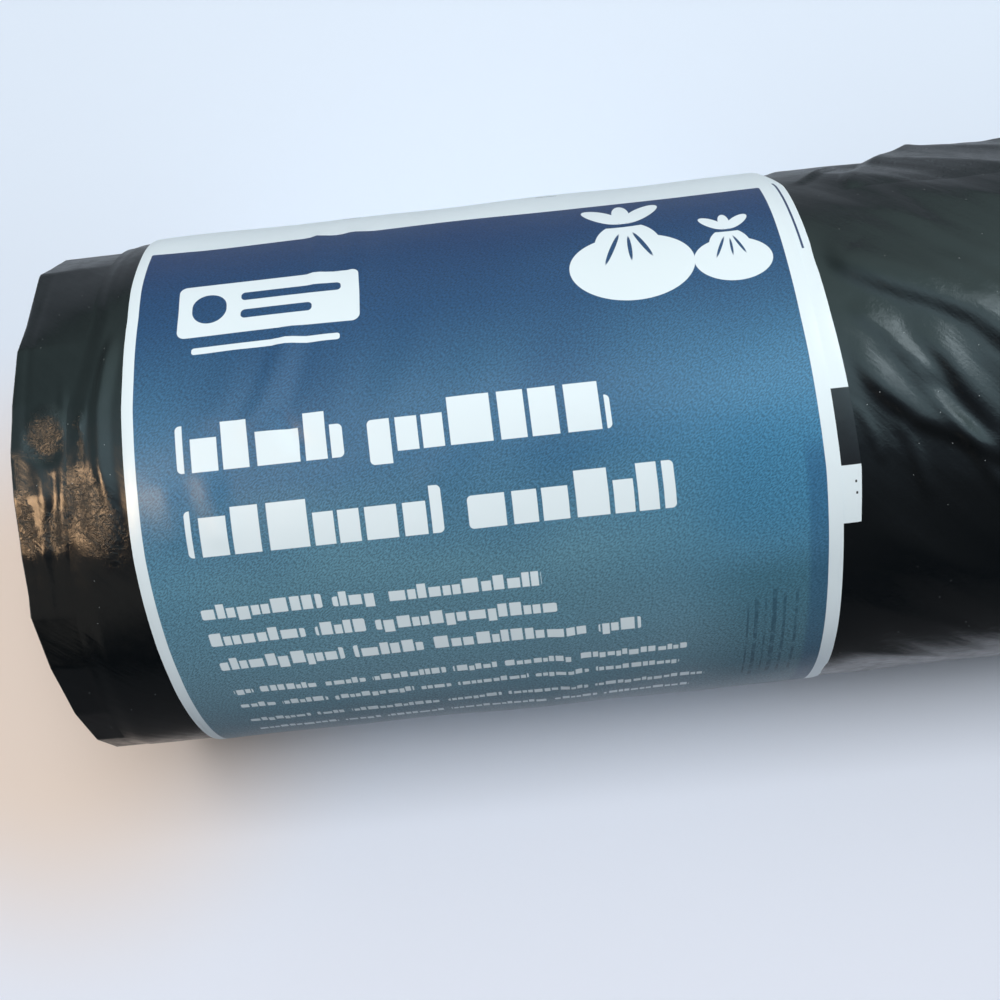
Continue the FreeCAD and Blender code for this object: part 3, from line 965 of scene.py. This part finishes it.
@dataclass(frozen=True)
class FilmFinish:
    """Thin glossy black film: smooth, drawn into soft streaks, finely crinkled in patches, with a little dust."""

    patches: tuple[Patch, ...]
    film_radius: float
    black: Colour = (0.0026, 0.0036, 0.0044)
    dust: Colour = (0.42, 0.45, 0.45)
    roughness: float = 0.17
    mottled_roughness: float = 0.08
    patch_roughness: float = 0.12
    patch_border: Pair = (1.5, 0.7)
    warp: float = 2.2
    crinkle_size: float = 0.55
    crinkle_sharpness: float = 0.16
    crinkle_height: float = 0.03
    crinkle_elsewhere: float = 0.04
    crinkle_loose: float = 0.12
    loose_start: Pair = (1.0, 9.0)
    streak_angle: float = 48.0
    streak_size: Pair = (16.0, 1.5)
    streak_height: float = 0.05
    grain_rate: float = 4.5
    grain_height: float = 0.0007
    bend_rate: float = 0.9
    mottle_rate: float = 0.7
    mottle_range: Pair = (0.35, 0.7)
    ior: float = 1.5
    dust_spacing: float = 3.6
    dust_size: float = 0.05
    dust_core: float = 0.02
    dust_share: Pair = (0.6, 0.61)

    def patch_mask(self, sheet: NodeSheet, spot: Signal, patch: Patch) -> Signal:
        """1 inside a patch and 0 outside: the length of the offset from its middle, over its size."""
        middle = (patch.x, math.radians(patch.angle) * self.film_radius)
        return sheet.length(sheet.turned(spot, patch.lean, patch.half, middle)).ramp(*self.patch_border)

    def material(self) -> bpy.types.Material:
        """Builds the material. Patterns follow the film's flat coordinates or its place, in millimetres."""
        made, sheet = material("black_film")
        place = sheet.place()
        flat = sheet.flat()
        bend = sheet.add("ShaderNodeTexNoise", {}, {"Vector": place, "Scale": self.bend_rate, "Detail": 1.0}, "Color")
        warp = sheet.vector("ADD", flat, sheet.scaled(bend, (self.warp, self.warp, 0.0)))
        spot = sheet.vector("SUBTRACT", warp, (self.warp / 2, self.warp / 2, 0.0))
        patch = largest([self.patch_mask(sheet, spot, patch) for patch in self.patches])
        folds = abs(sheet.noise(warp, 1 / self.crinkle_size, 3.0, 0.6) - 0.5).ramp(0.0, self.crinkle_sharpness)
        loose = sheet.parts(flat)[0].ramp(*self.loose_start) * self.crinkle_loose + self.crinkle_elsewhere
        crinkle = folds * loose.larger(patch)
        streaks = sheet.noise(sheet.turned(flat, self.streak_angle, self.streak_size), 1.0, 4.0, 0.6)
        grain = sheet.noise(place, self.grain_rate)
        height = crinkle * self.crinkle_height + streaks * self.streak_height + grain * self.grain_height
        mottle = sheet.noise(place, self.mottle_rate, 2.0, 0.6).ramp(*self.mottle_range)
        roughness = mottle * self.mottled_roughness + patch * self.patch_roughness + self.roughness
        distance, pick = sheet.cells(flat, 1 / self.dust_spacing)
        speck = distance.ramp(self.dust_size / self.dust_spacing, self.dust_core / self.dust_spacing)
        speck = speck * pick.ramp(*self.dust_share)
        colour = sheet.blend(speck, self.black, self.dust)
        sheet.finish({"Base Color": colour, "Roughness": roughness, "Normal": sheet.bump(height), "IOR": self.ior})
        return made


@dataclass(frozen=True)
class Bar:
    """A plain rounded bar of print, by its ends across the band, its middle down the panel and its height."""

    start: float
    end: float
    middle: float
    height: float
    corner: float = 0.5


@dataclass(frozen=True)
class Row:
    """A row of plain word-long bars, broken into blocks by narrow gaps.

    Args:
        start: Where the first bar starts across the band.
        widths: The bars' widths.
        middle: The row's middle down the panel.
    """

    start: float
    widths: tuple[float, ...]
    middle: float


@dataclass(frozen=True)
class Rows:
    """Rows of one size.

    Args:
        rows: The rows, from the top down.
        height: The low blocks' height.
        rise: How much higher the high blocks are.
        gap: The gap between bars.
        corner: Radius of the bars' end corners, under half the gap.
        beat: The blocks' mean pitch.
        block_gap: The gap between blocks.
        drop: The rows' pitch.
        quick_beat: How fast and how far the quicker of two waves makes the beat uneven.
        slow_beat: The same of the slower wave.
        row_offset: How far the slower wave moves on from row to row.
        high_share: The random numbers from which blocks are high.
        low_share: The random numbers under which blocks hang low.
        low_drop: How far those hang, as a share of the rise.
    """

    rows: tuple[Row, ...]
    height: float
    rise: float
    gap: float
    corner: float
    beat: float
    block_gap: float
    drop: float
    quick_beat: Pair = (2.1, 0.16)
    slow_beat: Pair = (0.83, 0.2)
    row_offset: float = 1.7
    high_share: Pair = (0.55, 0.6)
    low_share: Pair = (0.12, 0.08)
    low_drop: float = 0.8

    def stops(self, row: Row, span: float) -> list[tuple[float, Colour]]:
        """A ramp across the band that is 0 inside a row's bars, 1 between them and half way at their ends."""
        made = []
        place = row.start
        for width in row.widths:
            ends = ((place, 1.0), (place, 0.0), (place + width, 0.0), (place + width, 1.0))
            for side, (spot, level) in zip((-1, 1, -1, 1), ends):
                made.append(((spot + side * self.corner) / span, (level, level, level)))
            place += width + self.gap
        return made


@dataclass(frozen=True)
class Part:
    """One ellipse of a printed sack, placed and sized in shares of the sack's size."""

    right: float
    down: float
    width: float
    height: float
    lean: float = 0.0


@dataclass(frozen=True)
class Sack:
    """A plain tied sack of print: a round body that narrows to a neck, three leaves of its mouth, and folds."""

    middle: Pair
    size: float
    outline: tuple[Part, ...] = (
        Part(0.0, 0.38, 0.92, 0.66),
        Part(0.0, 0.02, 0.5, 0.62),
        Part(-0.3, -0.86, 0.36, 0.15, 42.0),
        Part(0.3, -0.86, 0.36, 0.15, -42.0),
        Part(0.0, -0.88, 0.13, 0.3),
    )
    folds: tuple[Part, ...] = (
        Part(-0.24, 0.0, 0.035, 0.34, 24.0),
        Part(0.22, -0.04, 0.035, 0.3, -20.0),
        Part(0.02, 0.02, 0.03, 0.26, 2.0),
        Part(0.0, -0.54, 0.4, 0.045),
    )


@dataclass(frozen=True)
class PrintLayout:
    """Where the band's print lies, in millimetres: across from the band's left edge and down from the panel's top."""

    panel_top_sweep: float = 441.0
    degree_length: float = 0.5445
    panel: Bar = Bar(1.25, 71.85, 47.0, 94.0, 0.25)
    badge: Bar = Bar(5.7, 25.6, 12.4, 7.6, 0.9)
    badge_holes: tuple[Bar, ...] = (
        Bar(7.2, 11.0, 12.4, 4.2, 2.0),
        Bar(12.6, 23.6, 11.1, 1.2, 0.5),
        Bar(12.6, 20.4, 13.7, 1.2, 0.5),
    )
    badge_line: Bar = Bar(7.4, 23.4, 18.0, 0.8, 0.3)
    sacks: tuple[Sack, ...] = (Sack((55.4, 9.9), 7.4), Sack((66.3, 11.6), 4.6))
    ramp_span: float = 75.0
    text: tuple[Rows, ...] = (
        Rows((Row(5.6, (17.4, 25.2), 29.6), Row(5.8, (26.6, 21.4), 38.5)), 3.5, 1.5, 2.6, 0.5, 3.5, 0.62, 8.9),
        Rows((Row(5.7, (12.8, 4.6, 16.4), 46.9), Row(5.8, (10.2, 5.4, 19.4), 50.6),
              Row(5.9, (13.6, 7.6, 16.8, 4.6), 54.3)), 1.25, 0.55, 1.1, 0.25, 1.35, 0.26, 3.7),
        Rows((Row(6.2, (2.2, 6.4, 4.6, 8.2, 5.0, 7.4, 12.0), 58.9), Row(6.2, (4.0, 5.2, 9.0, 3.4, 8.0, 6.0, 9.4), 62.0),
              Row(6.4, (7.0, 3.2, 10.4, 6.2, 9.2, 12.6), 66.2), Row(6.4, (9.6, 4.2, 6.8, 11.4, 5.0, 10.0), 70.0)),
             0.75, 0.3, 0.8, 0.2, 0.92, 0.2, 3.7),
    )
    ghost_lines: tuple[Bar, ...] = (
        Bar(63.3, 63.5, 60.0, 15.5, 0.1),
        Bar(64.1, 64.5, 60.2, 16.0, 0.1),
        Bar(65.2, 65.4, 60.0, 16.0, 0.1),
        Bar(66.0, 66.5, 59.6, 16.4, 0.1),
        Bar(67.2, 67.5, 59.8, 16.0, 0.1),
        Bar(68.5, 68.8, 59.4, 15.8, 0.1),
    )
    top_slivers: tuple[Bar, ...] = (
        Bar(22.9, 25.2, -8.4, 0.3, 0.1),
        Bar(46.4, 49.0, -8.0, 0.3, 0.1),
    )


@dataclass(frozen=True)
class PaperFinish:
    """Coated white paper with a printed blue panel, a fine dot screen and plain generic shapes."""

    layout: PrintLayout = field(default_factory=PrintLayout)
    white: Colour = (0.72, 0.81, 0.85)
    fibre: Colour = (0.66, 0.76, 0.78)
    navy: Colour = (0.022, 0.042, 0.115)
    ink_black: Colour = (0.007, 0.008, 0.01)
    ghost: Colour = (0.02, 0.06, 0.1)
    roughness: float = 0.3
    scuff_rate: float = 1.6
    scuff_roughness: float = 0.12
    swell_rate: float = 0.35
    swell_height: float = 0.05
    grain_rate: float = 3.2
    grain_height: float = 0.004
    ior: float = 1.5
    fuzz: float = 0.06
    dash_angle: float = -38.0
    dash_size: Pair = (0.3, 0.14)
    dash_contrast: float = 0.7
    # The blue print's ramp down the panel. Its last stop, at the panel's bottom, is painted lighter and greyer: a
    # painted sheen of the floor's reflection.
    blues_with_painted_bottom_sheen: Stops = (
        (0.0, (0.010, 0.034, 0.11)),
        (0.2, (0.012, 0.056, 0.145)),
        (0.42, (0.034, 0.122, 0.222)),
        (0.56, (0.1, 0.225, 0.3)),
        (0.8, (0.13, 0.25, 0.32)),
        (1.0, (0.2, 0.275, 0.33)),
    )
    blue_span: float = 78.0
    blue_wander: float = 0.16
    # The bright blue lightens the print towards the panel's right. Near the panel's left border, the left share of it
    # is a painted sheen.
    bright_blue: Colour = (0.045, 0.19, 0.33)
    bright_right: Pair = (44.0, 70.0)
    painted_sheen_left: Pair = (14.0, 2.0)
    bright_from: Pair = (12.0, 34.0)
    bright_to: Pair = (60.0, 40.0)
    bright_shares: Pair = (0.75, 0.25)
    shaded_teal: Colour = (0.04, 0.13, 0.18)
    shaded_right: Pair = (54.0, 66.0)
    shaded_from: Pair = (45.0, 50.0)
    shaded_share: float = 0.6
    start_blue: Colour = (0.016, 0.06, 0.16)
    start_edge: Pair = (69.5, 70.3)
    start_top: Pair = (34.5, 38.5)
    start_share: float = 0.4
    ghost_share: float = 0.6
    fibre_share: float = 0.06

    def bar_mask(self, sheet: NodeSheet, spot: Signal, bars: Sequence[Bar]) -> Signal:
        """1 inside any of the bars and 0 outside.

        The distance from a rounded bar is the length of what is left of the spot's offset from its middle, without
        sign, after its straight half sizes are taken off and parts under 0 are raised to 0, less the corner.
        """
        masks = []
        for bar in bars:
            middle = ((bar.start + bar.end) / 2, bar.middle, 0.0)
            corner = min(bar.corner, (bar.end - bar.start) / 2, bar.height / 2)
            straight = ((bar.end - bar.start) / 2 - corner, bar.height / 2 - corner, 1.0)
            offset = sheet.vector("ABSOLUTE", sheet.vector("SUBTRACT", spot, middle))
            outside = sheet.vector("MAXIMUM", sheet.vector("SUBTRACT", offset, straight), (0.0, 0.0, 0.0))
            masks.append(sheet.length(outside).ramp(corner + self.fuzz / 2, corner - self.fuzz / 2))
        return largest(masks)

    def rows_mask(self, sheet: NodeSheet, across: Signal, down: Signal, rows: Rows) -> Signal:
        """1 inside any block of these rows and 0 outside.

        Blocks follow each other at an uneven beat, the place over the beat plus two sine waves. Its whole part and
        the row's number give each block a random number, and high random numbers make high blocks. A block's end
        corners are round: the squares of both distances into the corner add up to under one.
        """
        span = self.layout.ramp_span
        line = (down - (rows.rows[0].middle - rows.drop / 2)) * (1 / rows.drop)
        row_number = line.math("FLOOR", line)
        quick_rate, quick_reach = rows.quick_beat
        slow_rate, slow_reach = rows.slow_beat
        slow = (across + row_number * rows.row_offset).wave(slow_rate / rows.beat) * slow_reach
        beat = across * (1 / rows.beat) + across.wave(quick_rate / rows.beat) * quick_reach + slow
        number = sheet.add("ShaderNodeCombineXYZ", {}, {0: beat.math("FLOOR", beat), 1: row_number})
        pick = sheet.add("ShaderNodeTexWhiteNoise", {"noise_dimensions": "2D"}, {"Vector": number}, "Value")
        rise = pick.ramp(*rows.high_share) * rows.rise
        drop = pick.ramp(*rows.low_share) * (rows.rise * rows.low_drop)
        masks = []
        for row in rows.rows:
            ramp = {"stops": rows.stops(row, span)}
            aside = sheet.add("ShaderNodeValToRGB", ramp, {0: across * (1 / span)}) * 2.0
            above = (row.middle - rows.height / 2 + rows.corner) - rise - down
            below = down - drop - (row.middle + rows.height / 2 - rows.corner)
            beyond = above.larger(below).larger(0.0) * (1 / rows.corner)
            fuzz = self.fuzz / rows.corner
            masks.append((aside * aside + beyond * beyond).ramp(1 + fuzz, 1 - fuzz))
        from_gap = (0.5 - abs(beat.math("FRACT", beat) - 0.5)) * rows.beat
        solid = from_gap.ramp(rows.block_gap / 2 - self.fuzz / 2, rows.block_gap / 2 + self.fuzz / 2)
        return largest(masks) * solid

    def parts_mask(self, sheet: NodeSheet, spot: Signal, sack: Sack, parts: Sequence[Part]) -> Signal:
        """1 inside any of a sack's ellipses: the length of the offset from its middle, turned and over its size."""
        masks = []
        for part in parts:
            middle = (sack.middle[0] + part.right * sack.size, sack.middle[1] + part.down * sack.size)
            size = (part.width * sack.size, part.height * sack.size)
            half = self.fuzz / 2 / min(size)
            masks.append(sheet.length(sheet.turned(spot, part.lean, size, middle)).ramp(1 + half, 1 - half))
        return largest(masks)

    def print_masks(self, sheet: NodeSheet, spot: Signal, across: Signal, down: Signal) -> Signal:
        """The white shapes on the blue panel."""
        layout = self.layout
        badge = self.bar_mask(sheet, spot, [layout.badge])
        badge = badge * (1 - self.bar_mask(sheet, spot, layout.badge_holes))
        shapes = [self.bar_mask(sheet, spot, [layout.badge_line]), badge]
        shapes += [self.rows_mask(sheet, across, down, rows) for rows in layout.text]
        for sack in layout.sacks:
            folds = self.parts_mask(sheet, spot, sack, sack.folds)
            shapes.append(self.parts_mask(sheet, spot, sack, sack.outline) * (1 - folds))
        return largest(shapes)

    def material(self) -> bpy.types.Material:
        """Builds the material on the band's flat coordinates: millimetres across it and degrees of sweep along it."""
        layout = self.layout
        made, sheet = material("printed_paper")
        across, sweep, _ = sheet.parts(sheet.flat())
        down = (layout.panel_top_sweep - sweep) * layout.degree_length
        spot = sheet.add("ShaderNodeCombineXYZ", {}, {0: across, 1: down, 2: 0.0})
        place = sheet.place()

        share = down * (1 / self.blue_span)
        wander = sheet.noise(spot, 0.06, 1.0)
        blue = sheet.add("ShaderNodeValToRGB", {"stops": self.blues_with_painted_bottom_sheen}, {0: share + (wander - 0.5) * self.blue_wander})
        # Lighter blue towards the panel's right, and a painted sheen near its left border.
        right, left = self.bright_shares
        lighter_right_and_left_sheen = across.ramp(*self.bright_right) * right + across.ramp(*self.painted_sheen_left) * left
        lighter_right_and_left_sheen = lighter_right_and_left_sheen * down.ramp(*self.bright_from) * down.ramp(*self.bright_to)
        blue = sheet.blend(lighter_right_and_left_sheen, blue, self.bright_blue)
        shaded = across.ramp(*self.shaded_right) * down.ramp(*self.shaded_from)
        blue = sheet.blend(shaded * self.shaded_share, blue, self.shaded_teal)
        dashes = sheet.noise(sheet.turned(spot, self.dash_angle, self.dash_size), 1.0, 1.0).ramp(0.3, 0.7) - 0.5
        blue = sheet.brightened(blue, dashes * self.dash_contrast + 1.0)

        behind = across.ramp(*self.start_edge) * (down + sheet.noise(spot, 0.5) * 2.0).ramp(*self.start_top)
        ghost = self.bar_mask(sheet, spot, layout.ghost_lines) * sheet.noise(spot, 0.7).ramp(0.3, 0.6)
        blue = sheet.blend(behind * self.start_share, blue, self.start_blue)
        blue = sheet.blend(ghost * self.ghost_share, blue, self.ghost)

        fibres = sheet.noise(place, 0.5, 3.0, 0.6)
        paper = sheet.blend((fibres - 0.5).ramp(-0.3, 0.3) * self.fibre_share, self.white, self.fibre)
        front = sheet.blend(self.print_masks(sheet, spot, across, down), blue, paper)
        panel = self.bar_mask(sheet, spot, [layout.panel])
        colour = sheet.blend(panel, paper, front)

        marks = self.bar_mask(sheet, spot, self.start_marks())
        colour = sheet.blend(marks, colour, self.ink_black)
        slivers = (self.at_sweep(72.35, 72.6, 57.5, 84.0), *layout.top_slivers)
        sliver = self.bar_mask(sheet, spot, slivers)
        colour = sheet.blend(sliver, colour, self.navy)

        scuff = sheet.noise(place, self.scuff_rate, 3.0, 0.6)
        roughness = self.roughness + scuff * self.scuff_roughness
        grain = sheet.noise(place, self.grain_rate, 3.0) * self.grain_height
        height = sheet.noise(place, self.swell_rate) * self.swell_height + grain
        sheet.finish({"Base Color": colour, "Roughness": roughness, "Normal": sheet.bump(height), "IOR": self.ior})
        return made

    def at_sweep(self, start: float, end: float, low: float, high: float) -> Bar:
        """A bar between two sweeps of the strip."""
        layout = self.layout
        middle = (layout.panel_top_sweep - (low + high) / 2) * layout.degree_length
        return Bar(start, end, middle, (high - low) * layout.degree_length, 0.05)

    def start_marks(self) -> list[Bar]:
        """The square register mark and two tiny marks on the strip's start."""
        return [
            self.at_sweep(70.6, 73.6, 11.6, 26.4),
            self.at_sweep(72.7, 72.9, 8.1, 8.6),
            self.at_sweep(72.8, 73.0, 5.8, 6.3),
        ]


@dataclass(frozen=True)
class Lamp:
    """A soft square lamp aimed at the roll.

    Args:
        name: Its name.
        angle: Its direction round the roll's axis, as everywhere here.
        lean: How far its direction leans towards +X.
        distance_m: Its distance from the spot that it lights.
        size_m: Its two sides.
        glow: Its brightness, where 1 is a white wall in full light.
        colour: Its colour.
        mirrored: Whether glossy surfaces mirror it and matt ones ignore it, or the other way round.
        target_m: The spot that it lights.
    """

    name: str
    angle: float
    lean: float
    distance_m: float
    size_m: Pair
    glow: float
    colour: Colour
    mirrored: bool
    target_m: tuple[float, float, float] = (-0.02, 0.0, 0.03)

    def hang(self) -> None:
        """Adds the lamp. Its power is its glow times its area times pi."""
        turn = math.radians(self.angle)
        lean = math.radians(self.lean)
        out = Vector((math.sin(lean), -math.cos(lean) * math.sin(turn), math.cos(lean) * math.cos(turn)))
        light = bpy.data.lights.new(self.name, "AREA")
        light.shape = "RECTANGLE"
        light.size, light.size_y = self.size_m
        light.energy = self.glow * self.size_m[0] * self.size_m[1] * math.pi
        light.color = self.colour
        lamp = add_object(self.name, light)
        lamp.location = Vector(self.target_m) + out * self.distance_m
        lamp.rotation_euler = out.to_track_quat("Z", "Y").to_euler()
        lamp.visible_glossy = self.mirrored
        lamp.visible_diffuse = not self.mirrored


@dataclass(frozen=True)
class Studio:
    """The pale floor, the soft lamps and the surrounding light."""

    floor_size_m: float = 3.0
    floor_colour: Colour = (0.695, 0.775, 0.885)
    # Painted light: the floor in front of the roll gets this lighter colour.
    floor_front_painted_light: Colour = (0.76, 0.8, 0.9)
    # Painted light: a warm pool of light on the floor near the roll's left end.
    painted_warm_light: Colour = (0.76, 0.64, 0.56)
    floor_roughness: float = 0.7
    painted_light_front_border_m: Pair = (0.03, -0.08)
    painted_warm_light_middle_m: tuple[float, float, float] = (-0.102, -0.018, 0.0)
    painted_warm_light_border_m: Pair = (0.052, 0.016)
    dimmed_colour: Colour = (0.02, 0.02, 0.02)
    dimmed_slant: float = 0.13
    dimmed_front_m: Pair = (-0.042, -0.066)
    dimmed_back_m: Pair = (0.0, 0.03)
    dimmed_shares: tuple[float, float, float] = (0.73, 0.4, 0.2)
    lamps: tuple[Lamp, ...] = (
        Lamp("soft_box", -8.0, 0.0, 1.1, (0.7, 0.5), 8.6, (1.0, 1.0, 1.0), False),
        Lamp("sky_light", -30.0, 0.0, 1.1, (2.0, 1.2), 0.85, (1.0, 1.0, 1.0), False),
        Lamp("bright_pane", -31.0, 34.0, 0.9, (0.34, 0.3), 4.2, (0.8, 0.93, 1.0), True),
        Lamp("side_light", 25.0, 45.0, 1.1, (0.9, 0.9), 0.7, (0.85, 0.94, 1.0), False),
        Lamp("warm_glint", 10.0, -30.0, 0.18, (0.055, 0.08), 17.0, (1.0, 0.64, 0.36), True, (-0.078, -0.005, 0.06)),
        Lamp("warm_wall", 48.0, -42.0, 0.9, (0.9, 0.6), 0.26, (1.0, 0.94, 0.84), True),
    )
    world_diffuse: Colour = (0.02, 0.02, 0.02)
    mirrored_strength: float = 2.0
    mirrored: Stops = (
        (-180.0, (0.03, 0.03, 0.03)),
        (-130.0, (0.1, 0.11, 0.11)),
        (-95.0, (0.17, 0.23, 0.23)),
        (-68.0, (0.39, 0.54, 0.54)),
        (-40.0, (0.48, 0.7, 0.71)),
        (-8.0, (0.68, 0.97, 1.08)),
        (3.0, (0.5, 0.7, 0.78)),
        (14.0, (0.12, 0.15, 0.18)),
        (45.0, (0.05, 0.055, 0.06)),
        (90.0, (0.01, 0.015, 0.02)),
        (180.0, (0.03, 0.03, 0.03)),
    )

    def light_world(self) -> None:
        """Lights the surroundings: even for matt surfaces, and for gloss a sky by its angle round the roll."""
        world = bpy.data.worlds.new("room")
        bpy.context.scene.world = world
        sheet = NodeSheet(world)
        aside, back, up = sheet.parts(sheet.add("ShaderNodeTexCoord", {}, {}, "Generated"))
        turn = back.math("ARCTAN2", back * -1.0, up) * (1 / math.tau) + 0.5
        stops = [(angle / FULL_TURN + 0.5, colour) for angle, colour in self.mirrored]
        sky = sheet.add("ShaderNodeValToRGB", {"stops": stops}, {0: turn})
        level = (aside.ramp(-0.6, 0.2) * 0.6 + 0.4) * self.mirrored_strength
        colour = sheet.blend(sheet.glossy_ray(), self.world_diffuse, sheet.brightened(sky, level))
        background = sheet.add("ShaderNodeBackground", {}, {"Color": colour, "Strength": 1.0})
        sheet.node("ShaderNodeOutputWorld", {}, {"Surface": background})

    def lay_floor(self) -> None:
        """Lays the floor: one pale square, whose image in glossy surfaces is dimmed by place."""
        reach = self.floor_size_m / 2
        corners = [(-reach, -reach, 0.0), (reach, -reach, 0.0), (reach, reach, 0.0), (-reach, reach, 0.0)]
        mesh = bpy.data.meshes.new("floor")
        mesh.from_pydata(corners, [], [(0, 1, 2, 3)])
        floor = add_object("floor", mesh)
        made, sheet = material("floor")
        place = sheet.place(1.0)
        x, y, _ = sheet.parts(place)
        # Painted light: the floor in front of the roll is coloured lighter.
        colour = sheet.blend(y.ramp(*self.painted_light_front_border_m), self.floor_colour, self.floor_front_painted_light)
        from_nose = sheet.length(sheet.vector("SUBTRACT", place, self.painted_warm_light_middle_m))
        # Painted light: a warm pool of light near the roll's left end.
        colour = sheet.blend(from_nose.ramp(*self.painted_warm_light_border_m), colour, self.painted_warm_light)
        front, back, everywhere = self.dimmed_shares
        dimmed = (y + x * self.dimmed_slant).ramp(*self.dimmed_front_m) * front
        dimmed = dimmed + y.ramp(*self.dimmed_back_m) * back + everywhere
        colour = sheet.blend(sheet.glossy_ray() * dimmed, colour, self.dimmed_colour)
        sheet.finish({"Base Color": colour, "Roughness": self.floor_roughness})
        floor.data.materials.append(made)

    def set_up(self) -> None:
        """Puts up the whole studio."""
        self.light_world()
        self.lay_floor()
        for lamp in self.lamps:
            lamp.hang()


@dataclass(frozen=True)
class Viewpoint:
    """The camera, at the photograph's place: found from the curved edges of the band.

    Args:
        along: Its place along the roll.
        stand_off: Its distance from the roll's axis.
        lean: The angle round the roll at which it stands.
        yaw: Turn about its own upright axis, to its left.
        pitch: Turn about its own level axis, upwards.
        bank: Turn about its line of sight.
        lens: Focal length.
        sensor: Width of the sensor.
    """

    roll: Roll
    along: float = -29.42
    stand_off: float = 174.045
    lean: float = 10.0
    yaw: float = 1.289
    pitch: float = -1.72
    bank: float = 6.142
    lens: float = 50.0
    sensor: float = 36.0

    def place(self) -> None:
        """Adds the camera and makes it the scene's own."""
        turn = math.radians(self.lean)
        out = Vector((0.0, -math.sin(turn), math.cos(turn)))
        right = Vector((1.0, 0.0, 0.0))
        axes = Matrix((right, out.cross(right), out)).transposed()
        for angle, axis in ((self.yaw, "Y"), (self.pitch, "X"), (-self.bank, "Z")):
            axes = axes @ Matrix.Rotation(math.radians(angle), 3, axis)
        middle = Vector((self.along, 0.0, self.roll.axis_height)) + out * self.stand_off
        data = bpy.data.cameras.new("camera")
        data.lens = self.lens
        data.sensor_width = self.sensor
        data.clip_start = 0.01
        camera = add_object("camera", data)
        camera.matrix_world = Matrix.Translation(middle * METRES) @ axes.to_4x4()
        bpy.context.scene.camera = camera


def keep(piece: bpy.types.Object, finish: bpy.types.Material, node: str) -> None:
    """Dresses a piece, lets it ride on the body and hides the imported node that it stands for."""
    piece.data.materials.append(finish)
    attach(piece, "root")
    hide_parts(node)
    log.info("%s: %d faces", piece.name, len(piece.data.polygons))


def main() -> None:
    """Builds the roll, the studio and the camera."""
    logging.basicConfig(level=logging.INFO, format="%(name)s %(message)s")
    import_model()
    roll = Roll.from_frame()
    pressed = PressedFilm(roll)
    outer = OuterTurns(roll, pressed)
    inner = InnerTurns(roll)
    film = FilmFinish(outer.patches + inner.patches, roll.radius).material()
    paper = PaperFinish().material()
    keep(outer.make(), film, "film_roll")
    keep(inner.make(), film, "film_roll")
    keep(LooseTail(roll, outer).make(), film, "film_roll")
    keep(PaperBand(roll, pressed).make(), paper, "label_band")
    Studio().set_up()
    Viewpoint(roll).place()
    bpy.context.scene.view_settings.view_transform = "Standard"


if __name__ == "__main__":
    main()
